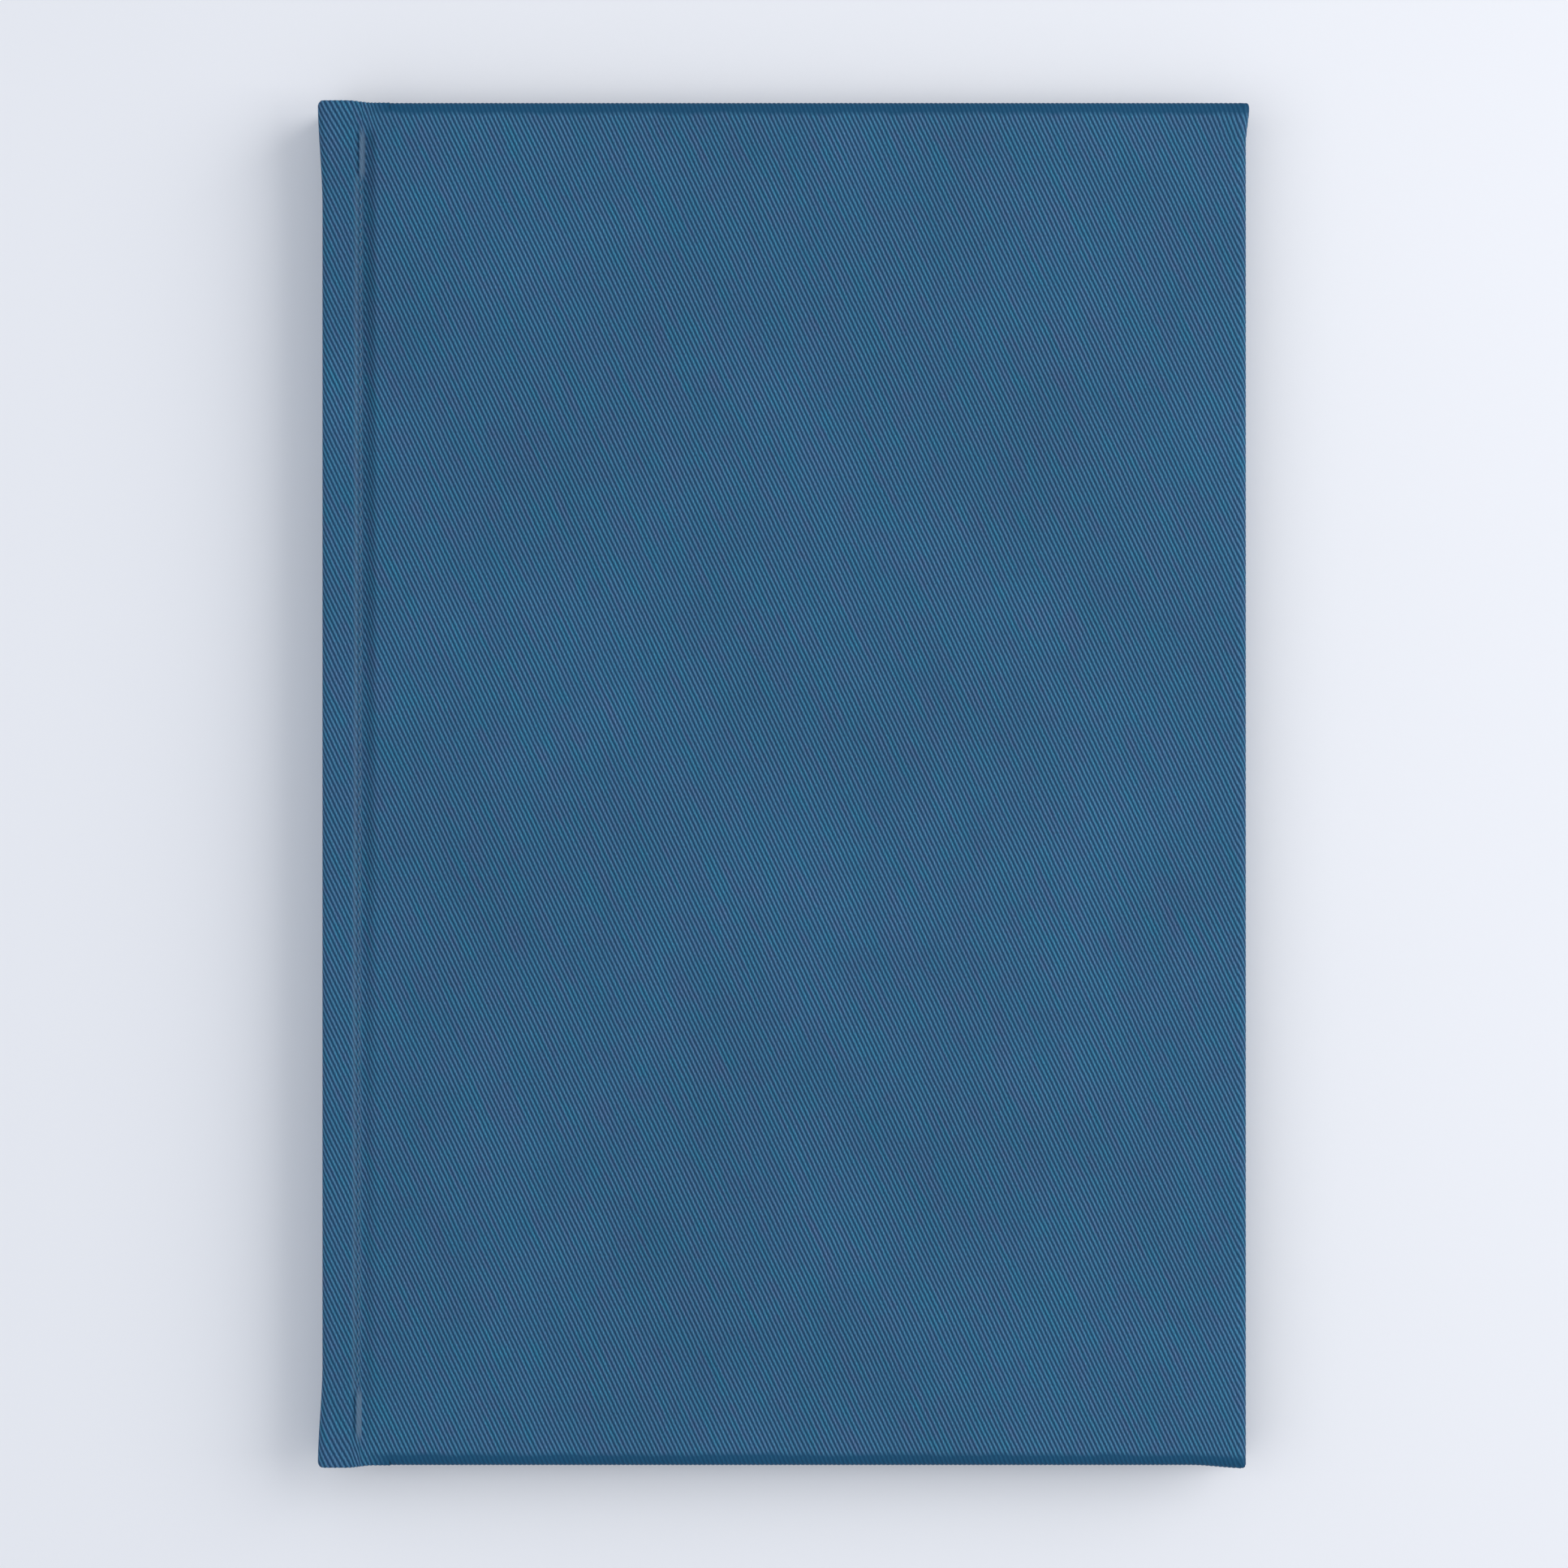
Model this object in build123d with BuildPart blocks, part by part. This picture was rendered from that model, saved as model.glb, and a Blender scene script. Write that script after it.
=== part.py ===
from build123d import *
import os

# A closed, case-bound logbook lying on its back cover. Millimetres.
# X runs from the spine (-X) to the fore edge, Y from tail to head, Z from the back cover up to the front cover.

# Driving dimensions
case_width = 150.0          # spine face to fore edge of the covers
case_height = 221.2         # tail to head over the boards
spine_height = 222.0        # tail to head at the spine, where the doubled cloth stands proud
case_thickness = 12.0       # outer face to outer face
cloth = 0.35                # book cloth
board = 1.95                # grey board of the covers
paper = 0.15                # endpaper
inlay = 1.2                 # card strip in the spine
turn_in = 15.0              # width of the cloth folded over on the inside
square = 3.0                # overhang of the covers past the leaves
joint_width = 8.25          # spine face to the cloth on a board's spine edge
ridge_width = 5.0           # flat top between the spine face and the pressed joint
joint_depth = 2.2           # depth of the pressed joint
block_setback = 2.6         # spine face to the folds of the sections
section_count = 8
leaf_gap = 0.02             # between neighbours in the stack
corner_radius = 0.8         # outer corners of the case
fold_radius = 0.3           # rounding of a section along its fold

# Positions worked out from them
spine_face = -case_width / 2
fore_edge = case_width / 2
cover_start = spine_face + joint_width
board_start = cover_start + cloth
fold_x = spine_face + block_setback
leaf_edge = fore_edge - cloth - square
leaf_height = case_height - 2 * cloth - 2 * square
cover = 2 * cloth + board + paper
block_low = cover + leaf_gap
block_high = case_thickness - cover - leaf_gap
sections_height = block_high - block_low - 2 * (paper + leaf_gap)
section_pitch = (sections_height + leaf_gap) / section_count
section_thickness = section_pitch - leaf_gap

# Layers behind the folds, counted from the folds towards the spine face
tape_width = 12.0
tape_thickness = 0.25
tape_stations = {"tape_head": 60.0, "tape_middle": 0.0, "tape_tail": -60.0}
stitch = 0.2                # side of a flattened thread
kettle_station = 98.0       # kettle knots, from mid height
kettle_radius = 0.16
kettle_length = 0.3
mull_height = 200.0
mull_thickness = 0.15
lining_height = 210.0
lining_thickness = 0.2
tape_face = fold_x - leaf_gap
stitch_face = tape_face - tape_thickness - leaf_gap
mull_face = stitch_face - stitch - leaf_gap
lining_face = mull_face - mull_thickness - leaf_gap
lining_margin = 0.1         # from the ends of the layers to the covers
band_radius = 0.75          # bead of a headband
band_tongue = 6.0           # length of its strip glued to the spine

os.makedirs("parts", exist_ok=True)


def save(builder, name):
    builder.part.label = name
    export_step(builder.part, f"parts/{name}.step")


def box_between(low, high):
    """A box from its low corner to its high corner, added to the current builder."""
    middle = [(a + b) / 2 for a, b in zip(low, high)]
    with Locations(tuple(middle)):
        Box(*[b - a for a, b in zip(low, high)])


def sheet_sketch(x_low, x_high, height, radius):
    """An outline with rounded corners at its fore edge."""
    with Locations(((x_low + x_high) / 2, 0)):
        outline = Rectangle(x_high - x_low, height)
    fillet(outline.vertices().group_by(Axis.X)[-1], radius)


# Covers: board, cloth with its turn-ins, and pastedown, from the outer face inwards
for side, outer_face, inward in (("back", 0.0, 1), ("front", case_thickness, -1)):
    board_face = Plane.XY.offset(outer_face + inward * cloth)
    inner_face = Plane.XY.offset(outer_face + inward * (cloth + board))
    covered_face = Plane.XY.offset(outer_face + inward * (2 * cloth + board))
    window_edge = fore_edge - cloth - turn_in
    window_height = case_height - 2 * cloth - 2 * turn_in

    with BuildPart() as cover_board:
        with BuildSketch(board_face):
            sheet_sketch(board_start, fore_edge - cloth, case_height - 2 * cloth, corner_radius - cloth)
        extrude(amount=inward * board)
    save(cover_board, f"{side}_board")

    with BuildPart() as cover_cloth:
        with BuildSketch(Plane.XY.offset(outer_face)):
            sheet_sketch(cover_start, fore_edge, case_height, corner_radius)
        extrude(amount=inward * (2 * cloth + board))
        with BuildSketch(board_face):
            sheet_sketch(board_start, fore_edge - cloth, case_height - 2 * cloth, corner_radius - cloth)
        extrude(amount=inward * board, mode=Mode.SUBTRACT)
        with BuildSketch(inner_face):
            with Locations(((cover_start + window_edge) / 2, 0)):
                Rectangle(window_edge - cover_start, window_height)
        extrude(amount=inward * cloth, mode=Mode.SUBTRACT)
    save(cover_cloth, f"{side}_cloth")

    with BuildPart() as pastedown:
        with BuildSketch(covered_face):
            with Locations(((board_start + leaf_edge) / 2, 0)):
                Rectangle(leaf_edge - board_start, leaf_height)
        extrude(amount=inward * paper)
        with BuildSketch(inner_face):
            with Locations(((board_start + window_edge) / 2, 0)):
                Rectangle(window_edge - board_start, window_height)
        extrude(amount=inward * cloth)
    save(pastedown, f"{side}_pastedown")

    # The cloth from the spine's edge, over the ridge and down into the pressed joint
    joint_start = spine_face + corner_radius + leaf_gap
    joint_end = cover_start - leaf_gap
    outer_line = [
        (joint_start, 0.0),
        (spine_face + ridge_width - 0.4, 0.05),
        (spine_face + ridge_width + 0.5, 0.9),
        (spine_face + ridge_width + 1.9, joint_depth),
        (joint_end, joint_depth - 0.6),
    ]
    inner_line = [
        (joint_end, joint_depth - 0.6 + cloth),
        (spine_face + ridge_width + 1.85, joint_depth + cloth),
        (spine_face + ridge_width + 0.2, 0.9 + cloth * 0.8),
        (spine_face + ridge_width - 0.7, cloth),
        (joint_start, cloth),
    ]
    with BuildPart() as joint_cloth:
        with BuildSketch(Plane.XZ):
            with BuildLine():
                Polyline(
                    *[(x, outer_face + inward * depth) for x, depth in outer_line + inner_line],
                    close=True,
                )
            make_face()
        extrude(amount=spine_height / 2, both=True)
    save(joint_cloth, f"{side}_joint_cloth")

# Spine: the cloth round it, and the card strip behind the cloth
with BuildPart() as spine_cloth:
    with BuildSketch(Plane.XZ):
        with Locations((spine_face + corner_radius / 2, case_thickness / 2)):
            around = Rectangle(corner_radius, case_thickness)
        fillet(around.vertices().group_by(Axis.X)[0], corner_radius * 0.999)
        with Locations((spine_face + (corner_radius + cloth) / 2, case_thickness / 2)):
            Rectangle(
                corner_radius - cloth,
                case_thickness - 2 * cloth,
                mode=Mode.SUBTRACT,
            )
    extrude(amount=spine_height / 2, both=True)
save(spine_cloth, "spine_cloth")

with BuildPart() as spine_inlay:
    box_between(
        (spine_face + cloth, -case_height / 2 + cloth, corner_radius),
        (spine_face + cloth + inlay, case_height / 2 - cloth, case_thickness - corner_radius),
    )
save(spine_inlay, "spine_inlay")

# Flyleaves: the free halves of the endpapers
for side, low in (("back", block_low), ("front", block_high - paper)):
    with BuildPart() as flyleaf:
        box_between((fold_x, -leaf_height / 2, low), (leaf_edge, leaf_height / 2, low + paper))
    save(flyleaf, f"{side}_flyleaf")

# Sections, counted from the front cover, each with its own sewing thread
for number in range(1, section_count + 1):
    low = block_low + paper + leaf_gap + (section_count - number) * section_pitch
    middle = low + section_thickness / 2

    with BuildPart() as section:
        box_between(
            (fold_x, -leaf_height / 2, low),
            (leaf_edge, leaf_height / 2, low + section_thickness),
        )
        fillet(section.edges().filter_by(Axis.Y).group_by(Axis.X)[0], fold_radius)
    save(section, f"section_{number}")

    with BuildPart() as sewing_thread:
        for station in tape_stations.values():
            reach = tape_width / 2 + leaf_gap
            box_between(
                (stitch_face - stitch, station - reach - stitch, middle - stitch / 2),
                (stitch_face, station + reach + stitch, middle + stitch / 2),
            )
            for end in (-1, 1):
                near, far = sorted((station + end * reach, station + end * (reach + stitch)))
                box_between(
                    (stitch_face, near, middle - stitch / 2),
                    (fold_x, far, middle + stitch / 2),
                )
        with BuildSketch(Plane.YZ.offset(fold_x)):
            with Locations((-kettle_station, middle), (kettle_station, middle)):
                Circle(kettle_radius)
        extrude(amount=-kettle_length)
    save(sewing_thread, f"sewing_thread_{number}")

# Layers across the folds: tapes, mull, paper lining and the two bands
layer_low = cover + lining_margin
layer_high = case_thickness - cover - lining_margin

for name, station in tape_stations.items():
    with BuildPart() as tape:
        box_between(
            (tape_face - tape_thickness, station - tape_width / 2, layer_low),
            (tape_face, station + tape_width / 2, layer_high),
        )
    save(tape, name)

with BuildPart() as mull:
    box_between(
        (mull_face - mull_thickness, -mull_height / 2, layer_low),
        (mull_face, mull_height / 2, layer_high),
    )
save(mull, "mull")

with BuildPart() as spine_lining:
    box_between(
        (lining_face - lining_thickness, -lining_height / 2, layer_low),
        (lining_face, lining_height / 2, layer_high),
    )
save(spine_lining, "spine_lining")

bead_y = leaf_height / 2 + band_radius + leaf_gap
for name, end in (("headband", 1), ("tailband", -1)):
    tongue_low, tongue_high = sorted((end * (leaf_height / 2 - band_tongue), end * bead_y))
    with BuildPart() as band:
        with BuildSketch(Plane.XY.offset(layer_low)):
            with Locations((fold_x + 0.1, end * bead_y)):
                Circle(band_radius)
        extrude(amount=layer_high - layer_low)
        box_between(
            (tape_face - tape_thickness, tongue_low, layer_low),
            (tape_face, tongue_high, layer_high),
        )
    save(band, name)
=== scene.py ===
import math
import random

import bmesh
import bpy
import numpy as np
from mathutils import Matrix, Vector


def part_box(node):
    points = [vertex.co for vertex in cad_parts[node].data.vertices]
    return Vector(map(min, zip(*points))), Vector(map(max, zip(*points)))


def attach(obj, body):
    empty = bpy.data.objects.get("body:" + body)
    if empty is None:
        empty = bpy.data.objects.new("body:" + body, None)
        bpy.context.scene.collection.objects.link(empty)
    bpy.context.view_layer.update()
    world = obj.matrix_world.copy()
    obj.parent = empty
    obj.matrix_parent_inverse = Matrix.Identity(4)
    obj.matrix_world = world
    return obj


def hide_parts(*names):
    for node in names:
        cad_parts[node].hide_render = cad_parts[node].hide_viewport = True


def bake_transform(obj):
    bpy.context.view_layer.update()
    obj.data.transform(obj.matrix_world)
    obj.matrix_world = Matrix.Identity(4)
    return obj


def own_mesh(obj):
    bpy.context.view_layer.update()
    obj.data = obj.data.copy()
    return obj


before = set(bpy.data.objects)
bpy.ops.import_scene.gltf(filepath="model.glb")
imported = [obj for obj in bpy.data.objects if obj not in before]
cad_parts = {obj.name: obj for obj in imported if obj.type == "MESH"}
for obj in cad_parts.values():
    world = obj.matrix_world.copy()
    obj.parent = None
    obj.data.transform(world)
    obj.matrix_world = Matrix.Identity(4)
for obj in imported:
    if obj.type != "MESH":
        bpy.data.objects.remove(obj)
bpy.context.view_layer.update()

# A closed hardback logbook in blue twill book cloth. Metres, in the frame's axes:
# X from the spine (-X) to the fore edge, Y from tail to head, Z up.

MM = 0.001
random.seed(7)

# ---------------------------------------------------------------- places taken from the frame

SPINE_LOW, SPINE_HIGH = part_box("spine_cloth")
COVER_LOW, COVER_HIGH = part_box("front_cloth")
FLY_LOW, FLY_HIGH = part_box("front_flyleaf")
INLAY_LOW, INLAY_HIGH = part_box("spine_inlay")
TOP = COVER_HIGH.z                      # outer face of the front cover; the back cover's is at 0
SPINE_X = SPINE_LOW.x
FORE_X = COVER_HIGH.x
HEAD_Y = COVER_HIGH.y                   # head edge of the covers
SPINE_HEAD_Y = SPINE_HIGH.y             # head edge of the spine
WRAP = COVER_HIGH.z - COVER_LOW.z       # cloth, board and turn-in together
PAPER = FLY_HIGH.z - FLY_LOW.z
TURN_IN = 15 * MM                       # cloth folded over inside a cover

# The twill: its lines run down to the right, three warp ends apart.
TWILL_X = 0.729 * MM                    # spacing of the lines along X
TWILL_Y = 1.515 * MM                    # and along Y
WARP = TWILL_X / 3
WEFT = TWILL_Y / 3
EDGE_SHADE_START = HEAD_Y - 1.75 * MM          # where painted shade starts to darken the cloth towards the head and tail edges


def cord(u, v):
    """Height of the twill's cords, from 0 to 1, at a place on the flat cloth."""
    return 0.5 + 0.5 * np.cos(2 * math.pi * (u / TWILL_X + v / TWILL_Y))


def smooth(low, high, x):
    t = np.clip((np.asarray(x, float) - low) / (high - low), 0, 1)
    return t * t * (3 - 2 * t)


# ---------------------------------------------------------------- meshes

def piece(name, points, faces, material, flat=None, body=None, stands_for=()):
    """A mesh piece. flat is each point's place on the flat cloth or leaf, for its material."""
    mesh = bpy.data.meshes.new(name)
    mesh.from_pydata([tuple(p) for p in points], [], faces)
    mesh.update()
    if flat is not None:
        attribute = mesh.attributes.new("flat", "FLOAT_VECTOR", "POINT")
        attribute.data.foreach_set("vector", np.asarray(flat, np.float32).ravel())
    for polygon in mesh.polygons:
        polygon.use_smooth = True
    mesh.materials.append(material)
    obj = bpy.data.objects.new(name, mesh)
    bpy.context.collection.objects.link(obj)
    if body:
        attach(obj, body)
    if stands_for:
        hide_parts(*stands_for)
    return obj


def grid_faces(columns, rows, flip=False):
    """Quads of a grid whose points are numbered column by column."""
    faces = []
    for i in range(columns - 1):
        for j in range(rows - 1):
            a = i * rows + j
            face = (a, a + rows, a + rows + 1, a + 1)
            faces.append(face[::-1] if flip else face)
    return faces


def thicken(obj, thickness):
    """Gives a sheet its thickness, on the side that its faces turn away from."""
    modifier = obj.modifiers.new("thickness", "SOLIDIFY")
    modifier.thickness = thickness
    modifier.offset = -1
    graph = bpy.context.evaluated_depsgraph_get()
    solid = bpy.data.meshes.new_from_object(obj.evaluated_get(graph))
    obj.modifiers.clear()
    obj.data = solid


# ---------------------------------------------------------------- node materials

class Nodes:
    """A material's node tree, with short calls for the nodes used here."""

    def __init__(self, name):
        self.material = bpy.data.materials.new(name)
        self.material.use_nodes = True
        self.tree = self.material.node_tree
        self.shader = self.tree.nodes["Principled BSDF"]

    def node(self, kind, inputs=(), **settings):
        made = self.tree.nodes.new(kind)
        for key, value in settings.items():
            setattr(made, key, value)
        for key, value in dict(inputs).items():
            self.put(made.inputs[key], value)
        return made

    def put(self, socket, value):
        if isinstance(value, bpy.types.NodeSocket):
            self.tree.links.new(value, socket)
        else:
            socket.default_value = value

    def math(self, operation, a, b=0.0, c=0.0):
        return self.node("ShaderNodeMath", {0: a, 1: b, 2: c}, operation=operation).outputs[0]

    def flat(self):
        """The place on the flat sheet, as X, Y and Z."""
        attribute = self.node("ShaderNodeAttribute", attribute_name="flat")
        split = self.node("ShaderNodeSeparateXYZ", {0: attribute.outputs["Vector"]})
        return attribute.outputs["Vector"], split.outputs

    def noise(self, vector, scale, detail=2.0, roughness=0.5):
        made = self.node(
            "ShaderNodeTexNoise",
            {"Vector": vector, "Scale": scale, "Detail": detail, "Roughness": roughness},
        )
        return made.outputs["Fac"]

    def vector(self, x, y, z=0.0):
        return self.node("ShaderNodeCombineXYZ", {0: x, 1: y, 2: z}).outputs[0]

    def ramp(self, value, stops):
        made = self.node("ShaderNodeValToRGB", {0: value})
        elements = made.color_ramp.elements
        while len(elements) < len(stops):
            elements.new(0.5)
        for element, (place, colour) in zip(elements, stops):
            element.position = place
            element.color = (*colour, 1)
        return made.outputs["Color"]

    def range(self, value, low, high, new_low=0.0, new_high=1.0):
        made = self.node(
            "ShaderNodeMapRange",
            {0: value, 1: low, 2: high, 3: new_low, 4: new_high},
        )
        return made.outputs[0]

    def mix(self, factor, a, b, blend="MIX"):
        made = self.node("ShaderNodeMix", data_type="RGBA", blend_type=blend)
        self.put(made.inputs[0], factor)
        self.put(made.inputs[6], (*a, 1) if isinstance(a, tuple) else a)
        self.put(made.inputs[7], (*b, 1) if isinstance(b, tuple) else b)
        return made.outputs[2]

    def bump(self, height, distance, strength=1.0):
        made = self.node("ShaderNodeBump", {"Height": height, "Distance": distance, "Strength": strength})
        return made.outputs[0]

    def times(self, colour, factor):
        """A colour made lighter or darker by a single number."""
        grey = self.node("ShaderNodeCombineColor", {0: factor, 1: factor, 2: factor}).outputs[0]
        return self.mix(1.0, colour, grey, "MULTIPLY")

    def finish(self, colour, roughness, normal=None, **sockets):
        self.put(self.shader.inputs["Base Color"], colour)
        self.put(self.shader.inputs["Roughness"], roughness)
        if normal is not None:
            self.put(self.shader.inputs["Normal"], normal)
        for name, value in sockets.items():
            self.put(self.shader.inputs[name.replace("_", " ")], value)
        return self.material


def book_cloth(name):
    """Warp-faced twill: diagonal cords made of staggered warp floats, with painted shade between the cords
    and painted light on their tops.
    """
    n = Nodes(name)
    _, place = n.flat()
    # A little drift, so that the cords aren't ruled straight.
    drift = n.noise(n.vector(place[0], place[1]), 90.0, 1.0)
    drift = n.math("MULTIPLY_ADD", drift, 0.34, -0.17)
    fine = n.noise(n.vector(place[0], place[1]), 900.0, 2.0)
    fine = n.math("MULTIPLY_ADD", fine, 0.22, -0.11)
    end = n.math("DIVIDE", place[0], WARP)
    pick = n.math("DIVIDE", place[1], WEFT)
    across = n.math("DIVIDE", n.math("ADD", end, pick), 3.0)
    across = n.math("ADD", across, n.math("ADD", drift, fine))
    wave = n.math("COSINE", n.math("MULTIPLY", across, 2 * math.pi))
    height = n.math("MULTIPLY_ADD", wave, 0.5, 0.5)
    cords = n.math("POWER", height, 0.8)
    # Each float is a separate yarn: a shallow line beside it, and a soft end where it dips, both darkened by
    # painted shade in the colour as well as bumped.
    beside = n.math("ABSOLUTE", n.math("SINE", n.math("MULTIPLY", end, math.pi)))
    beside = n.math("POWER", beside, 0.5)
    dips = n.math("COSINE", n.math("MULTIPLY", n.math("ADD", pick, n.math("FLOOR", end)), 2 * math.pi / 3))
    dips = n.math("MULTIPLY_ADD", dips, 0.5, 0.5)
    relief = n.math("MULTIPLY", cords, n.math("MULTIPLY_ADD", beside, 0.35, 0.65))
    relief = n.math("MULTIPLY", relief, n.math("MULTIPLY_ADD", dips, 0.25, 0.75))
    # Yarns differ a little in shade, along their whole length and from place to place.
    yarn = n.noise(n.vector(n.math("FLOOR", across), n.math("MULTIPLY", place[1], 60.0)), 1.7, 2.0)
    patch = n.noise(n.vector(place[0], place[1]), 330.0, 3.0, 0.6)
    broad = n.noise(n.vector(place[0], place[1]), 28.0, 2.0)
    # Painted light and shade: the colour runs from dark in the hollows between the cords to light on their
    # tops.
    shade = n.ramp(
        relief,
        [
            (0.0, (0.0045, 0.038, 0.094)),
            (0.33, (0.013, 0.076, 0.162)),
            (0.68, (0.035, 0.133, 0.254)),
            (1.0, (0.082, 0.232, 0.388)),
        ],
    )
    teal = n.mix(n.range(patch, 0.35, 0.65), shade, (0.80, 1.10, 1.06), "MULTIPLY")
    violet = n.mix(n.range(yarn, 0.35, 0.65), (1.32, 0.93, 0.99), (0.70, 1.05, 1.02))
    colour = n.mix(1.0, teal, violet, "MULTIPLY")
    # Single floats catch the light, and others lie deeper.
    speck = n.noise(n.vector(n.math("MULTIPLY", place[0], 1.6), place[1]), 2600.0, 2.0, 0.6)
    speck = n.range(speck, 0.3, 0.7, 0.82, 1.18)
    colour = n.times(colour, speck)
    # The third coordinate marks the pressed crease, where the colour is made greyer: painted highlight on the
    # joint's bead and on a line down the slope that faces the light, and a paler bare strip near head and
    # tail.
    colour = n.mix(n.math("MULTIPLY", place[2], 0.6), colour, (0.115, 0.19, 0.28))
    # Painted shade: towards the head and tail edges of the boards, where the cloth turns away from the light
    # and loses its sheen, its colour is made darker.
    height = n.math("ABSOLUTE", place[1])
    wander = n.math("MULTIPLY", n.noise(n.vector(place[0], place[1]), 260.0, 2.0), 0.9 * MM)
    edge = n.range(n.math("ADD", height, wander), EDGE_SHADE_START, EDGE_SHADE_START + 0.7 * MM)
    edge = n.math("MULTIPLY", edge, n.range(height, HEAD_Y + 1.5 * MM, HEAD_Y + 3 * MM, 1.0, 0.0))
    front = n.range(place[0], CUT_X - 4.5 * MM, CUT_X - 0.5 * MM)
    back = n.range(place[0], CLOTH_U_BACK + 4.5 * MM, CLOTH_U_BACK + 0.5 * MM)
    edge = n.math("MULTIPLY", edge, n.math("MAXIMUM", front, back))
    # The painted shade's colour: deeper blue without sheen.
    painted_edge_shade = n.mix(1.0, colour, (0.10, 0.60, 0.70), "MULTIPLY")
    colour = n.mix(edge, colour, n.mix(0.72, painted_edge_shade, (0.001, 0.066, 0.148)))
    tone = n.range(broad, 0.3, 0.7, 0.94, 1.06)
    colour = n.times(colour, tone)
    fibre = n.noise(n.vector(n.math("MULTIPLY", place[0], 3.0), place[1]), 5200.0, 2.0)
    relief_all = n.math("ADD", relief, n.math("MULTIPLY", fibre, 0.22))
    normal = n.bump(relief_all, 0.09 * MM, 1.0)
    rough = n.range(relief, 0.0, 1.0, 0.86, 0.6)
    return n.finish(colour, rough, normal, Sheen_Weight=0.06, Sheen_Roughness=0.5, Specular_IOR_Level=0.28)


def paper(name, tint, ruled=False):
    """Uncoated paper with a faint fibre, and on the log's leaves a pale ruled table."""
    n = Nodes(name)
    vector, place = n.flat()
    fibre = n.noise(vector, 1500.0, 3.0, 0.6)
    cloud = n.noise(vector, 60.0, 2.0)
    light = tuple(min(1, c * 1.03) for c in tint)
    dark = tuple(c * 0.95 for c in tint)
    colour = n.mix(n.range(fibre, 0.3, 0.7), dark, light)
    colour = n.mix(n.range(cloud, 0.2, 0.8, 0.0, 0.5), colour, tint)
    if ruled:
        colour = n.mix(log_table(n, place), colour, (0.30, 0.42, 0.50))
    normal = n.bump(fibre, 0.02 * MM, 0.5)
    return n.finish(colour, 0.86, normal, Specular_IOR_Level=0.25)


def log_table(n, place):
    """Ruled lines of a log page: a frame, a tall heading row, entry rows and columns. 1 on a line."""
    width = FLY_HIGH.x - FLY_LOW.x
    height = FLY_HIGH.y - FLY_LOW.y
    left, right = 12 * MM, width - 7 * MM
    low, high = -height / 2 + 14 * MM, height / 2 - 12 * MM
    past_left = n.math("GREATER_THAN", place[0], left)
    inside_x = n.math("MULTIPLY", past_left, n.math("LESS_THAN", place[0], right))
    past_low = n.math("GREATER_THAN", place[1], low)
    inside_y = n.math("MULTIPLY", past_low, n.math("LESS_THAN", place[1], high))
    heading = high - 26 * MM
    row = 9.2 * MM
    row_line = n.math("MODULO", n.math("SUBTRACT", place[1], low), row)
    row_line = n.math("LESS_THAN", row_line, 0.22 * MM)
    below = n.math("LESS_THAN", place[1], heading + 0.3 * MM)
    lines = n.math("MULTIPLY", n.math("MULTIPLY", row_line, below), inside_x)
    lines = n.math("MULTIPLY", lines, inside_y)
    columns = (left, 31 * MM, 47 * MM, 63 * MM, 79 * MM, 90 * MM, 101 * MM, 112 * MM, 123 * MM, right)
    for x in columns:
        near = n.math("LESS_THAN", n.math("ABSOLUTE", n.math("SUBTRACT", place[0], x)), 0.13 * MM)
        lines = n.math("MAXIMUM", lines, n.math("MULTIPLY", near, inside_y))
    for y in (low, heading, heading + 12 * MM, high):
        near = n.math("LESS_THAN", n.math("ABSOLUTE", n.math("SUBTRACT", place[1], y)), 0.2 * MM)
        lines = n.math("MAXIMUM", lines, n.math("MULTIPLY", near, inside_x))
    on_face = n.math("GREATER_THAN", place[2], 0.5)
    return n.math("MULTIPLY", n.math("MULTIPLY", lines, on_face), 0.8)


def grey_board():
    n = Nodes("grey board")
    vector = n.node("ShaderNodeTexCoord").outputs["Object"]
    fleck = n.noise(vector, 1800.0, 4.0, 0.7)
    colour = n.ramp(fleck, [(0.3, (0.16, 0.15, 0.13)), (0.55, (0.3, 0.28, 0.25)), (0.75, (0.42, 0.40, 0.36))])
    return n.finish(colour, 0.9, n.bump(fleck, 0.03 * MM, 0.6), Specular_IOR_Level=0.2)


def woven(name, light, dark, pitch, stripes=None):
    """Plain-woven trim: over and under at one pitch, with stripes along Z if they are asked for."""
    n = Nodes(name)
    vector = n.node("ShaderNodeTexCoord").outputs["Object"]
    place = n.node("ShaderNodeSeparateXYZ", {0: vector}).outputs
    a = n.math("SINE", n.math("MULTIPLY", place[1], 2 * math.pi / pitch))
    b = n.math("SINE", n.math("MULTIPLY", place[2], 2 * math.pi / pitch))
    check = n.math("MULTIPLY_ADD", n.math("MULTIPLY", a, b), 0.5, 0.5)
    # Painted shade: the yarn is darker where it passes under and lighter where it passes over.
    colour = n.mix(check, dark, light)
    if stripes:
        wave = n.math("SINE", n.math("MULTIPLY", place[2], 2 * math.pi / stripes))
        colour = n.mix(n.range(wave, -0.15, 0.15), colour, (0.035, 0.11, 0.22))
    return n.finish(colour, 0.8, n.bump(check, 0.05 * MM, 0.8), Sheen_Weight=0.1, Specular_IOR_Level=0.3)


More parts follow.
